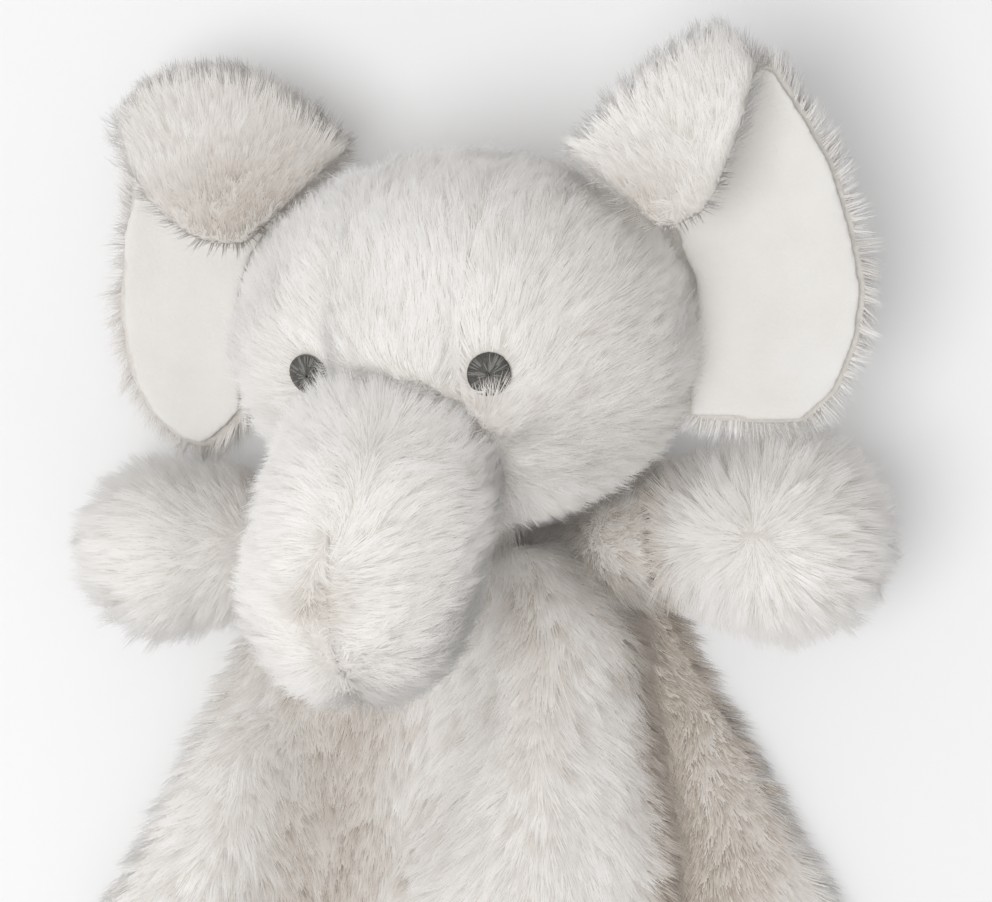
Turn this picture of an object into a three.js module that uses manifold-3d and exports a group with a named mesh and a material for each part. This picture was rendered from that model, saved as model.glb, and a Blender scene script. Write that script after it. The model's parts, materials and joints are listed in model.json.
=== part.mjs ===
// A plush elephant comforter: a stuffed head with a trunk, two folded ears and two stub arms, sewn at
// the neck to a soft blanket body of two layers. It lies on its back with its head turned to its right.
// Fur and filling are plain solids here, as thick as they are when pressed lightly.
// Millimetres. +X is the toy's own left, +Y runs from the hem to the crown, +Z is up off the table, and
// the origin is on the table under the middle of the toy. Left and right are always the toy's own.
import * as THREE from "three";
import Module from "manifold-3d";
import { mergeVertices } from "three/addons/utils/BufferGeometryUtils.js";

const wasm = await Module();
wasm.setup();

// Fabrics, each as thick as its knit backing and the half of its pile that stands up when pressed
const FUR = 4;
const VELOUR = 2.2;
const SEAM_GAP = 0.4;
// Room between a ball and its socket
const SWIVEL_GAP = 0.7;

// Head
const HEAD_CENTRE = new THREE.Vector3(0, 83.5, 53.8);
const HEAD_RADII = new THREE.Vector3(59, 46.5, 53);
const HEAD_TURN = THREE.MathUtils.degToRad(-21);
const GUSSET_WIDTH = 36;
const EYE = { radius: 5.6, thickness: 1.4, x: 24.5, y: -9 };

// Neck: a stuffed core that turns in the gathered collar, both round about the point the head swings on
const NECK = { centre: new THREE.Vector3(0, 46.5, 40), radius: 15, coreRadius: 11, rim: 4 };
const THREAD = { y: 36, radius: 1.1, sunk: 0.9 };

// Trunk: a round root in the face, a bend, and a round tip. The filling at its root is a ball of its own,
// and its two panels end at the throat, a plane this far behind the root's middle. It lifts by LIFT_ROOM.
const TRUNK_ROOT = { centre: new THREE.Vector3(-19, 50.5, 90), radius: 26.5, coreRadius: 19, throat: 8 };
const TRUNK_BEND = { centre: new THREE.Vector3(-22.5, 38, 98.5), radius: 27.5 };
const TRUNK_TIP = { centre: new THREE.Vector3(-26, 21, 101), radius: 27.5 };
const LIFT_ROOM = THREE.MathUtils.degToRad(26);

// Arms, from the shoulder through the wrist to the middle of the paw
const ARMS = {
  left: {
    shoulder: new THREE.Vector3(43, 31.5, 27),
    wrist: new THREE.Vector3(62, 33, 30),
    paw: new THREE.Vector3(83.5, 32.5, 39),
    rootRadius: 14,
    wristRadius: 17,
    pawRadius: 25.5,
  },
  right: {
    shoulder: new THREE.Vector3(-42, 31.5, 26),
    wrist: new THREE.Vector3(-60, 30, 26),
    paw: new THREE.Vector3(-79, 29, 27),
    rootRadius: 14,
    wristRadius: 16.5,
    pawRadius: 21,
  },
};
const WRIST_ROOM = THREE.MathUtils.degToRad(42);
const CUFF_WALL = 2;

// Ears. Each ear is one leaf whose upper part is folded forward as a flap. Its four lines run from the
// root seam to the tip: the flap's free edge, the fold, the middle of the back, and the lower rim.
const EARS = {
  left: {
    root: new THREE.Vector3(56, 100, 64),
    lines: [
      [[-6, 10, 21], [5, 15, 24], [13, 33, 24], [17, 50, 20], [18, 58, 14]],
      [[-27, 31, 8], [-19, 42, 12], [-8, 54, 14], [2, 63, 12], [11, 67, 9]],
      [[4, 6, -6], [10, 8, -8], [14, 20, -7], [18, 40, -1], [19, 61, 3]],
      [[5, -34, -8], [35, -34, -8], [48, -10, -5], [41, 25, 0], [24, 59, 5]],
    ],
  },
  right: {
    root: new THREE.Vector3(-50, 100, 27),
    lines: [
      [[-8, 8, 18], [-18, 9, 18], [-28, 15, 16], [-35, 24, 11], [-39, 34, 4]],
      [[18, 34, 6], [3, 48, 9], [-14, 56, 9], [-30, 53, 6], [-39, 40, 1]],
      [[-8, 4, -9], [-14, 2, -12], [-24, 9, -13], [-33, 20, -11], [-40, 30, -7]],
      [[-9, -35, -8], [-22, -45, -15], [-38, -32, -17], [-44, -9, -15], [-42, 16, -11]],
    ],
  },
};

// Blanket: a fan from the neck to the hem, with three folds that run down from the neck
const BLANKET = {
  top: 31,
  hem: -169,
  topHalfWidth: 45,
  hemHalfWidth: 147,
  cornerRise: 26,
  backThickness: 3,
};
// Each fold: where its crest is at the top and at the hem, its half width there, its height, and how far
// down the blanket it starts and is full
const FOLDS = [
  { topX: 21, hemX: 20, topHalf: 15, hemHalf: 34, height: 27, from: -0.25, full: 0.16 },
  { topX: -42, hemX: -112, topHalf: 13, hemHalf: 28, height: 14, from: 0.12, full: 0.42 },
  { topX: 44, hemX: 122, topHalf: 13, hemHalf: 30, height: 9, from: 0.14, full: 0.42 },
];

// The gathered fabric that rises to the neck
const GATHER = { height: 26, halfWidth: 22, halfLength: 26 };

const RING_SIDES = 14;
const BALL_DETAIL = 3;
const HEAD_DETAIL = 5;

const MATERIALS = {
  fur: new THREE.MeshStandardMaterial({ color: 0xded8cd, roughness: 0.95, metalness: 0 }),
  velour: new THREE.MeshStandardMaterial({ color: 0xe9e6e0, roughness: 0.9, metalness: 0 }),
  fill: new THREE.MeshStandardMaterial({ color: 0xf4f3ef, roughness: 1, metalness: 0 }),
  thread: new THREE.MeshStandardMaterial({ color: 0x484845, roughness: 0.7, metalness: 0 }),
};

// ---- Solids and meshes

function bareMerged(geometry) {
  const bare = new THREE.BufferGeometry();
  const source = geometry.index ? geometry.toNonIndexed() : geometry;
  bare.setAttribute("position", source.getAttribute("position"));
  return mergeVertices(bare, 1e-3);
}

function solidOf(geometry) {
  const merged = bareMerged(geometry);
  const vertProperties = new Float32Array(merged.attributes.position.array);
  const triVerts = new Uint32Array(merged.index.array);
  const solid = new wasm.Manifold(new wasm.Mesh({ numProp: 3, vertProperties, triVerts }));
  if (solid.volume() > 0) return solid;
  for (let i = 0; i < triVerts.length; i += 3) {
    [triVerts[i + 1], triVerts[i + 2]] = [triVerts[i + 2], triVerts[i + 1]];
  }
  return new wasm.Manifold(new wasm.Mesh({ numProp: 3, vertProperties, triVerts }));
}

function meshOf(solid, name, material, origin = new THREE.Vector3()) {
  const made = solid.getMesh();
  const positions = new Float32Array(made.numVert * 3);
  for (let i = 0; i < made.numVert; i++) {
    for (let k = 0; k < 3; k++) {
      positions[3 * i + k] = made.vertProperties[i * made.numProp + k] - origin.getComponent(k);
    }
  }
  const geometry = new THREE.BufferGeometry();
  geometry.setAttribute("position", new THREE.BufferAttribute(positions, 3));
  geometry.setIndex(new THREE.BufferAttribute(new Uint32Array(made.triVerts), 1));
  geometry.computeVertexNormals();
  const mesh = new THREE.Mesh(geometry, material);
  mesh.name = name;
  return mesh;
}

// The part of a solid that holds most of its volume, which drops any crumb that a cut leaves
function mainBody(solid) {
  return solid.decompose().reduce((best, one) => (one.volume() > best.volume() ? one : best));
}

function ball(centre, radius, detail = BALL_DETAIL) {
  const geometry = new THREE.IcosahedronGeometry(radius, detail);
  return solidOf(geometry.translate(centre.x, centre.y, centre.z));
}

function block(centre, size, rotation = new THREE.Euler()) {
  const geometry = new THREE.BoxGeometry(size.x, size.y, size.z);
  const placed = new THREE.Matrix4().makeRotationFromEuler(rotation).setPosition(centre);
  return solidOf(geometry.applyMatrix4(placed));
}

// A round limb from one point to another, with a ball of its own radius at each end
function limb(from, to, fromRadius, toRadius, sides = RING_SIDES) {
  const length = from.distanceTo(to);
  const profile = [];
  const steps = 5;
  for (let i = 0; i <= steps; i++) {
    const angle = (Math.PI / 2) * (i / steps);
    profile.push(new THREE.Vector2(fromRadius * Math.sin(angle), -fromRadius * Math.cos(angle)));
  }
  for (let i = 0; i <= steps; i++) {
    const angle = (Math.PI / 2) * (i / steps);
    profile.push(new THREE.Vector2(toRadius * Math.cos(angle), length + toRadius * Math.sin(angle)));
  }
  profile[0].x = 0;
  profile[profile.length - 1].x = 0;
  const turn = new THREE.Quaternion().setFromUnitVectors(
    new THREE.Vector3(0, 1, 0),
    to.clone().sub(from).normalize(),
  );
  const geometry = new THREE.LatheGeometry(profile, sides).applyQuaternion(turn);
  return solidOf(geometry.translate(from.x, from.y, from.z));
}

// A big block that fills everything behind a plane, for cutting
function behind(point, normal, reach = 200) {
  const turn = new THREE.Quaternion().setFromUnitVectors(new THREE.Vector3(0, 0, 1), normal);
  const centre = point.clone().addScaledVector(normal, -reach / 2);
  return block(centre, new THREE.Vector3(reach, reach, reach), new THREE.Euler().setFromQuaternion(turn));
}

// A closed sheet between two grids of points
function sheet(columns, rows, upper, lower) {
  const positions = [];
  const corner = (side, column, row) => {
    const at = (side ? lower : upper)(column / columns, row / rows);
    return [at.x, at.y, at.z];
  };
  const quad = (a, b, c, d) => positions.push(...a, ...b, ...c, ...a, ...c, ...d);
  for (let r = 0; r < rows; r++) {
    for (let c = 0; c < columns; c++) {
      quad(corner(0, c, r), corner(0, c + 1, r), corner(0, c + 1, r + 1), corner(0, c, r + 1));
      quad(corner(1, c, r), corner(1, c, r + 1), corner(1, c + 1, r + 1), corner(1, c + 1, r));
    }
    quad(corner(0, 0, r), corner(0, 0, r + 1), corner(1, 0, r + 1), corner(1, 0, r));
    quad(corner(0, columns, r + 1), corner(0, columns, r), corner(1, columns, r), corner(1, columns, r + 1));
  }
  for (let c = 0; c < columns; c++) {
    quad(corner(0, c + 1, 0), corner(0, c, 0), corner(1, c, 0), corner(1, c + 1, 0));
    quad(corner(0, c, rows), corner(0, c + 1, rows), corner(1, c + 1, rows), corner(1, c, rows));
  }
  const geometry = new THREE.BufferGeometry();
  geometry.setAttribute("position", new THREE.Float32BufferAttribute(positions, 3));
  return solidOf(geometry);
}

// ---- Head, built in its own frame with +Z out of the face and then turned

const headPose = new THREE.Matrix4().makeRotationY(HEAD_TURN).setPosition(HEAD_CENTRE);
const worldToHead = headPose.clone().invert();
const inHead = (point) => point.clone().applyMatrix4(worldToHead);

function headBall(inset) {
  const geometry = new THREE.IcosahedronGeometry(1, HEAD_DETAIL);
  const radii = HEAD_RADII.clone().subScalar(inset);
  return solidOf(geometry.scale(radii.x, radii.y, radii.z));
}

function headPieces() {
  const trunkRoot = inHead(TRUNK_ROOT.centre);
  const trunkAxis = inHead(TRUNK_BEND.centre).sub(trunkRoot).normalize();
  const trunkSocket = ball(trunkRoot, TRUNK_ROOT.radius + SWIVEL_GAP);
  const neckSocket = ball(inHead(NECK.centre), NECK.radius + SWIVEL_GAP);
  const shell = headBall(0).subtract(headBall(FUR)).subtract(trunkSocket).subtract(neckSocket);
  const reach = 200;
  const slab = (width) => block(new THREE.Vector3(), new THREE.Vector3(width, reach, reach));
  const half = (side, inner) =>
    block(new THREE.Vector3(side * (inner + reach / 2), 0, 0), new THREE.Vector3(reach, reach, reach));
  const seam = GUSSET_WIDTH / 2;
  const sweptThroat = TRUNK_ROOT.throat + TRUNK_ROOT.radius * Math.sin(LIFT_ROOM);
  const backWall = behind(trunkRoot.clone().addScaledVector(trunkAxis, -sweptThroat), trunkAxis);
  const filling = headBall(FUR + SEAM_GAP)
    .subtract(trunkSocket.subtract(backWall))
    .subtract(ball(trunkRoot, TRUNK_ROOT.coreRadius + SWIVEL_GAP))
    .subtract(neckSocket);
  return [
    meshOf(mainBody(shell.intersect(slab(2 * seam - SEAM_GAP))), "head_gusset", MATERIALS.fur),
    meshOf(mainBody(shell.intersect(half(1, seam))), "head_side_left", MATERIALS.fur),
    meshOf(mainBody(shell.intersect(half(-1, seam))), "head_side_right", MATERIALS.fur),
    meshOf(mainBody(filling), "head_filling", MATERIALS.fill),
  ];
}

// An embroidered eye lies on the head, facing straight out of it
function eye(side, name) {
  const { x, y } = EYE;
  const z = HEAD_RADII.z * Math.sqrt(1 - (x / HEAD_RADII.x) ** 2 - (y / HEAD_RADII.y) ** 2);
  const centre = new THREE.Vector3(side * x, y, z);
  const outward = centre.clone().divide(HEAD_RADII).divide(HEAD_RADII).normalize();
  const geometry = new THREE.CylinderGeometry(EYE.radius, EYE.radius, EYE.thickness, 24);
  const turn = new THREE.Quaternion().setFromUnitVectors(new THREE.Vector3(0, 1, 0), outward);
  const mesh = new THREE.Mesh(geometry, MATERIALS.thread);
  mesh.quaternion.copy(turn);
  mesh.position.copy(centre).addScaledVector(outward, SEAM_GAP + EYE.thickness / 2);
  mesh.name = name;
  return mesh;
}

// ---- Stuffed tubes: two fur panels sewn along their sides, round a filling. tube gives the solid at
// an inset from the outside, and opening is where the panels leave the filling bare.

function stuffedTube(tube, opening, seamPoint, seamNormal, names) {
  const shell = tube(0).subtract(tube(FUR)).subtract(opening);
  const rest = behind(seamPoint.clone().addScaledVector(seamNormal, SEAM_GAP / 2), seamNormal);
  const half = behind(seamPoint.clone().addScaledVector(seamNormal, -SEAM_GAP / 2), seamNormal);
  return [
    meshOf(mainBody(shell.subtract(rest)), names[0], MATERIALS.fur),
    meshOf(mainBody(shell.intersect(half)), names[1], MATERIALS.fur),
    meshOf(mainBody(tube(FUR + SEAM_GAP).subtract(opening)), names[2], MATERIALS.fill),
  ];
}

function trunkPieces() {
  const [root, bend, tip] = [TRUNK_ROOT, TRUNK_BEND, TRUNK_TIP];
  const axis = bend.centre.clone().sub(root.centre).normalize();
  const throat = behind(root.centre.clone().addScaledVector(axis, -root.throat), axis);
  const opening = ball(root.centre, root.coreRadius + SWIVEL_GAP).add(throat);
  const tube = (inset) =>
    limb(root.centre, bend.centre, root.radius - inset, bend.radius - inset).add(
      limb(bend.centre, tip.centre, bend.radius - inset, tip.radius - inset),
    );
  const sideways = new THREE.Vector3(1, 0, 0).applyAxisAngle(new THREE.Vector3(0, 1, 0), HEAD_TURN);
  return [
    ...stuffedTube(tube, opening, bend.centre, sideways, ["trunk_left", "trunk_right", "trunk_filling"]),
    meshOf(ball(root.centre, root.coreRadius), "trunk_root_filling", MATERIALS.fill),
  ];
}

// The sleeve ends in a cuff round the paw's ball. Their rims lie in one plane, square to the bend's middle.
function armPieces(side) {
  const arm = ARMS[side];
  const sleeveAxis = arm.wrist.clone().sub(arm.shoulder).normalize();
  const pawAxis = arm.paw.clone().sub(arm.wrist).normalize();
  const rimNormal = sleeveAxis.clone().add(pawAxis).normalize();
  const rimBack = arm.wristRadius * Math.sin(WRIST_ROOM);
  const rimPoint = arm.wrist.clone().addScaledVector(rimNormal, -rimBack);
  const socket = ball(arm.wrist, arm.wristRadius + SWIVEL_GAP).add(
    behind(rimPoint, rimNormal.clone().negate()),
  );
  const cuffRadius = arm.wristRadius + CUFF_WALL;
  const sleeve = (inset) => limb(arm.shoulder, arm.wrist, arm.rootRadius - inset, cuffRadius - inset);
  const sleeveShell = sleeve(0).subtract(sleeve(FUR)).subtract(socket);
  const sleeveFilling = sleeve(FUR + 2 * SEAM_GAP).subtract(socket);
  const paw = (inset) => limb(arm.wrist, arm.paw, arm.wristRadius - inset, arm.pawRadius - inset);
  const up = new THREE.Vector3(0, 0, 1);
  const upright = up.addScaledVector(pawAxis, -up.dot(pawAxis)).normalize();
  return [
    meshOf(mainBody(sleeveShell), `arm_sleeve_${side}`, MATERIALS.fur),
    meshOf(mainBody(sleeveFilling), `arm_filling_${side}`, MATERIALS.fill),
    ...stuffedTube(paw, behind(rimPoint, rimNormal), arm.wrist, upright, [
      `paw_front_${side}`,
      `paw_back_${side}`,
      `paw_filling_${side}`,
    ]),
  ];
}

// ---- Ears

function earLeaf(lines) {
  const curves = lines.map(
    (line) => new THREE.CatmullRomCurve3(line.map((p) => new THREE.Vector3(...p)), false, "centripetal"),
  );
  const across = (t) =>
    new THREE.CatmullRomCurve3(curves.map((curve) => curve.getPoint(t)), false, "centripetal");
  const at = (s, t) => across(t).getPoint(s);
  const normalAt = (s, t) => {
    const step = 0.02;
    const [s0, s1] = [Math.max(0, s - step), Math.min(1, s + step)];
    const [t0, t1] = [Math.max(0, t - step), Math.min(1, t + step)];
    const alongS = at(s1, t).sub(at(s0, t));
    const alongT = at(s, t1).sub(at(s, t0));
    return alongS.cross(alongT).normalize();
  };
  return (s, t, offset) => at(s, t).addScaledVector(normalAt(s, t), offset);
}

function earPieces(side) {
  const { root, lines } = EARS[side];
  const leaf = earLeaf(lines);
  const liningSide = side === "left" ? 1 : -1;
  const layer = (near, far) =>
    sheet(
      11,
      9,
      (s, t) => leaf(s, t, liningSide * far),
      (s, t) => leaf(s, t, liningSide * near),
    );
  const headRoom = solidOf(
    bareMerged(
      new THREE.IcosahedronGeometry(1, HEAD_DETAIL)
        .scale(HEAD_RADII.x + 1, HEAD_RADII.y + 1, HEAD_RADII.z + 1)
        .applyMatrix4(headPose)
        .translate(-root.x, -root.y, -root.z),
    ),
  );
  const lining = layer(SEAM_GAP / 2, SEAM_GAP / 2 + VELOUR);
  const outer = layer(-SEAM_GAP / 2 - FUR, -SEAM_GAP / 2);
  return [
    meshOf(mainBody(outer.subtract(headRoom)), `ear_outer_${side}`, MATERIALS.fur),
    meshOf(mainBody(lining.subtract(headRoom)), `ear_lining_${side}`, MATERIALS.velour),
  ];
}

// ---- Blanket

function halfWidthAt(v) {
  return THREE.MathUtils.lerp(BLANKET.topHalfWidth, BLANKET.hemHalfWidth, v);
}

// Where a point of the fan lies on the table: u runs from side to side and v from the neck to the hem
function fanPoint(u, v) {
  const side = 2 * u - 1;
  const roundness = v ** 8 * side ** 8;
  const x = side * halfWidthAt(v) * (1 - 0.05 * roundness);
  const y = THREE.MathUtils.lerp(BLANKET.top, BLANKET.hem, v) + BLANKET.cornerRise * roundness;
  return new THREE.Vector2(x, y);
}

// Folds rise a little way below the neck and die away before the hem
function foldHeight(x, v) {
  const bump = (distance, half) => Math.exp(-((distance / half) ** 2));
  const fall = 1 - THREE.MathUtils.smoothstep(v, 0.35, 1);
  const below = v * (BLANKET.top - BLANKET.hem);
  const gather = GATHER.height * bump(x, GATHER.halfWidth) * bump(below, GATHER.halfLength);
  return FOLDS.reduce((sum, fold) => {
    const rise = THREE.MathUtils.smoothstep(v, fold.from, fold.full);
    const crest = THREE.MathUtils.lerp(fold.topX, fold.hemX, v);
    const half = THREE.MathUtils.lerp(fold.topHalf, fold.hemHalf, v);
    return sum + fold.height * rise * fall * bump(x - crest, half);
  }, gather);
}

function blanketPieces() {
  const frontBase = BLANKET.backThickness + SEAM_GAP;
  const folded = (u, v) => {
    const at = fanPoint(u, v);
    return new THREE.Vector3(at.x, at.y, frontBase + FUR + foldHeight(at.x, v));
  };
  const level = (z) => (u, v) => {
    const at = fanPoint(u, v);
    return new THREE.Vector3(at.x, at.y, z);
  };
  const { left, right } = ARMS;
  const frontSheet = sheet(24, 14, folded, level(frontBase))
    .subtract(ball(NECK.centre, NECK.radius + SEAM_GAP))
    .subtract(ball(left.shoulder, left.rootRadius + SWIVEL_GAP))
    .subtract(ball(right.shoulder, right.rootRadius + SWIVEL_GAP));
  return [
    meshOf(mainBody(frontSheet), "blanket_front", MATERIALS.fur),
    meshOf(sheet(8, 14, level(BLANKET.backThickness), level(0)), "blanket_back", MATERIALS.velour),
  ];
}

// ---- Neck: a collar gathered round a stuffed core and drawn tight by a strong thread. The core's cap
// fills the head's socket above the collar's rim.

function neckPieces() {
  const { centre, radius, coreRadius, rim } = NECK;
  const rimPlane = (offset, upward) =>
    behind(centre.clone().add(new THREE.Vector3(0, rim + offset, 0)), new THREE.Vector3(0, upward, 0));
  const loopRadius = Math.sqrt(radius ** 2 - (THREAD.y - centre.y) ** 2) - THREAD.radius - THREAD.sunk;
  const loop = (thickness) =>
    solidOf(
      new THREE.TorusGeometry(loopRadius, thickness, 7, 20)
        .rotateX(Math.PI / 2)
        .translate(centre.x, THREAD.y, centre.z),
    );
  const collar = ball(centre, radius)
    .subtract(ball(centre, coreRadius + SWIVEL_GAP))
    .subtract(rimPlane(0, -1))
    .subtract(loop(THREAD.radius + SEAM_GAP));
  const cap = ball(centre, radius).subtract(rimPlane(SEAM_GAP, 1));
  return [
    meshOf(mainBody(collar), "neck_collar", MATERIALS.fur),
    meshOf(loop(THREAD.radius), "neck_thread", MATERIALS.velour),
    meshOf(mainBody(ball(centre, coreRadius).add(cap)), "neck_core", MATERIALS.fill),
  ];
}

// ---- The whole toy

const toy = new THREE.Group();
toy.add(...blanketPieces(), ...neckPieces());

const head = new THREE.Group();
head.position.copy(HEAD_CENTRE);
head.rotation.y = HEAD_TURN;
head.add(...headPieces(), eye(1, "eye_left"), eye(-1, "eye_right"));
toy.add(head);

toy.add(...trunkPieces());

for (const side of ["left", "right"]) {
  const ear = new THREE.Group();
  ear.position.copy(EARS[side].root);
  ear.add(...earPieces(side));
  toy.add(ear, ...armPieces(side));
}

export default toy;
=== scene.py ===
import json
import math

import bpy
import numpy as np
from mathutils import Matrix, Vector, kdtree
from mathutils.bvhtree import BVHTree


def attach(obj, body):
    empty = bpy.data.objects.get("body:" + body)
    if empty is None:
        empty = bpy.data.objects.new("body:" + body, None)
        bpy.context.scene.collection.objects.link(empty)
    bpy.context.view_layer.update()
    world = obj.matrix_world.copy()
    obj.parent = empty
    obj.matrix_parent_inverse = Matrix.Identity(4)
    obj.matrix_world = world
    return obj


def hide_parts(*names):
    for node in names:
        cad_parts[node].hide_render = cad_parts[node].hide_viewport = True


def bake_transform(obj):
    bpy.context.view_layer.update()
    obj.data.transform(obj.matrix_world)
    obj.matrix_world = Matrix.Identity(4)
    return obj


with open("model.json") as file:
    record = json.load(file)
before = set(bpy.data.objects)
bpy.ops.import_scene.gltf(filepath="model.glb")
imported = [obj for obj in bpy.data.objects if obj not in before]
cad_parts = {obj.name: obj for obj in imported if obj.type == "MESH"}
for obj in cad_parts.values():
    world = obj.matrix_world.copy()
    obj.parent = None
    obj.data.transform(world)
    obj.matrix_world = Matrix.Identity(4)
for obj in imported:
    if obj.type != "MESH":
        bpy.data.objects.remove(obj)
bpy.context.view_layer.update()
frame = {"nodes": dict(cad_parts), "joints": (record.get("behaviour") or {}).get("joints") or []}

scene = bpy.context.scene
joint_at = {joint["name"]: np.array(joint["pos_m"]) for joint in frame["joints"]}


# ---- The table and the light
# The toy lies on its back on a white table. The light is a broad soft one from beyond its right arm
# and a little from the hem, over an even white room.

camera = bpy.data.objects.new("overhead_camera", bpy.data.cameras.new("overhead_camera"))
scene.collection.objects.link(camera)
camera.location = (0.008, 0.055, 1.150)
camera.data.lens = 152.8
camera.data.sensor_width = 36
camera.data.clip_end = 20
scene.camera = camera

scene.view_settings.view_transform = "Standard"
scene.cycles.use_denoising = True
scene.cycles.diffuse_bounces = 8
scene.cycles.transparent_max_bounces = 24

world = bpy.data.worlds.new("white_room")
scene.world = world
world.use_nodes = True
world.node_tree.nodes["Background"].inputs["Color"].default_value = (1.0, 1.0, 1.0, 1)
world.node_tree.nodes["Background"].inputs["Strength"].default_value = 0.585

softbox = bpy.data.objects.new("softbox", bpy.data.lights.new("softbox", "AREA"))
scene.collection.objects.link(softbox)
softbox.data.shape = "DISK"
softbox.data.size = 1.0
softbox.data.energy = 14.0
softbox.location = (-0.50, -0.25, 1.62)
softbox.rotation_euler = (Vector((0, 0.02, 0.05)) - softbox.location).to_track_quat("-Z", "Y").to_euler()


def plain_material(name, colour, roughness):
    """A new Principled material and its shader node."""
    material = bpy.data.materials.new(name)
    material.use_nodes = True
    shader = material.node_tree.nodes["Principled BSDF"]
    shader.inputs["Base Color"].default_value = (*colour, 1)
    shader.inputs["Roughness"].default_value = roughness
    return material, shader


bpy.ops.object.select_all(action="DESELECT")
bpy.ops.mesh.primitive_plane_add(size=8)
table_top = bpy.context.object
table_top.name = "table_top"
table_white, _ = plain_material("table_white", (0.95, 0.95, 0.955), 0.9)
table_top.data.materials.append(table_white)


# ---- Head covers
# Three panels of tipped plush, a gusset over the crown between two cheeks, are sewn edge to edge and
# stuffed hard. The seams pull into shallow valleys under the pile.


def node(material, kind, **inputs):
    """A new node in a material, with inputs given by name: a socket is linked and a value is set."""
    made = material.node_tree.nodes.new(kind)
    for name, value in inputs.items():
        socket = made.inputs[name.replace("_", " ") if name.replace("_", " ") in made.inputs else name]
        if isinstance(value, bpy.types.NodeSocket):
            material.node_tree.links.new(value, socket)
        else:
            socket.default_value = value
    return made


def colour_mix(material, factor, first, second):
    """The colour between two colours or sockets at a factor, as a socket."""
    mix = material.node_tree.nodes.new("ShaderNodeMix")
    mix.data_type = "RGBA"
    for socket, value in zip((mix.inputs[0], mix.inputs[6], mix.inputs[7]), (factor, first, second)):
        if isinstance(value, bpy.types.NodeSocket):
            material.node_tree.links.new(value, socket)
        elif isinstance(value, tuple):
            socket.default_value = (*value, 1)
        else:
            socket.default_value = value
    return mix.outputs[2]


# Each fibre is taupe at its root and off-white at its tip. On the pile's own map, v runs from root to
# tip and u is how much of the taupe dye the tuft took, with painted shade added to u in some places.
tipped_pile, shader = plain_material("tipped_pile", (0.8, 0.8, 0.8), 0.62)
shader.inputs["Sheen Weight"].default_value = 0.12
shader.inputs["Sheen Roughness"].default_value = 0.5
shader.inputs["Specular IOR Level"].default_value = 0.25
fibre = node(tipped_pile, "ShaderNodeUVMap")
fibre.uv_map = "OFBake"
along = node(tipped_pile, "ShaderNodeSeparateXYZ", Vector=fibre.outputs["UV"])
tipping = node(tipped_pile, "ShaderNodeMapRange", Value=along.outputs["Y"])
tipping.interpolation_type = "SMOOTHSTEP"
tipping.inputs["From Min"].default_value = 0.05
tipping.inputs["From Max"].default_value = 0.75
# u is the fur's own taupe, and in some places painted shade as well
dye_and_shade = along.outputs["X"]
root_colour = colour_mix(tipped_pile, dye_and_shade, (0.90, 0.87, 0.83), (0.30, 0.24, 0.19))
tip_colour = colour_mix(tipped_pile, dye_and_shade, (0.96, 0.94, 0.92), (0.60, 0.53, 0.46))
tipped_pile.node_tree.links.new(
    colour_mix(tipped_pile, tipping.outputs[0], root_colour, tip_colour), shader.inputs["Base Color"]
)
# Light passes on between and through the fine fibres, so each one shades the next only a little
ray = node(tipped_pile, "ShaderNodeLightPath")
from_lamp = node(tipped_pile, "ShaderNodeMath", Value=ray.outputs["Is Shadow Ray"])
from_lamp.operation = "MULTIPLY"
from_lamp.inputs[1].default_value = 0.965
let_through = node(tipped_pile, "ShaderNodeMath", Value=ray.outputs["Is Diffuse Ray"])
let_through.operation = "MULTIPLY_ADD"
let_through.inputs[1].default_value = 0.86
tipped_pile.node_tree.links.new(from_lamp.outputs[0], let_through.inputs[2])
clear = node(tipped_pile, "ShaderNodeBsdfTransparent")
fibre_mix = node(tipped_pile, "ShaderNodeMixShader")
tipped_pile.node_tree.links.new(let_through.outputs[0], fibre_mix.inputs[0])
tipped_pile.node_tree.links.new(shader.outputs[0], fibre_mix.inputs[1])
tipped_pile.node_tree.links.new(clear.outputs[0], fibre_mix.inputs[2])
tipped_pile.node_tree.links.new(
    fibre_mix.outputs[0], tipped_pile.node_tree.nodes["Material Output"].inputs["Surface"]
)

# The knit backing under the pile, taupe like the roots
knit_backing, shader = plain_material("knit_backing", (0.5, 0.45, 0.4), 0.95)
place = node(knit_backing, "ShaderNodeTexCoord")
loops = node(knit_backing, "ShaderNodeTexNoise", Vector=place.outputs["Object"], Scale=700.0)
knit_backing.node_tree.links.new(
    colour_mix(knit_backing, loops.outputs["Fac"], (0.60, 0.56, 0.51), (0.84, 0.81, 0.77)),
    shader.inputs["Base Color"],
)
knit_bump = node(knit_backing, "ShaderNodeBump", Height=loops.outputs["Fac"], Strength=0.6, Distance=0.0004)
knit_backing.node_tree.links.new(knit_bump.outputs[0], shader.inputs["Normal"])


def units(vectors):
    return vectors / np.maximum(np.linalg.norm(vectors, axis=-1, keepdims=True), 1e-9)


def dots(first, second):
    return np.sum(first * second, axis=-1, keepdims=True)


def points_of(mesh, what="co"):
    found = np.empty(len(mesh.vertices) * 3, np.float32)
    mesh.vertices.foreach_get(what, found)
    return found.reshape(-1, 3).astype(float)


def put_points(mesh, points):
    mesh.vertices.foreach_set("co", points.astype(np.float32).ravel())
    mesh.update()


def select_only(piece):
    bpy.ops.object.select_all(action="DESELECT")
    bpy.context.view_layer.objects.active = piece
    piece.select_set(True)


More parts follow.
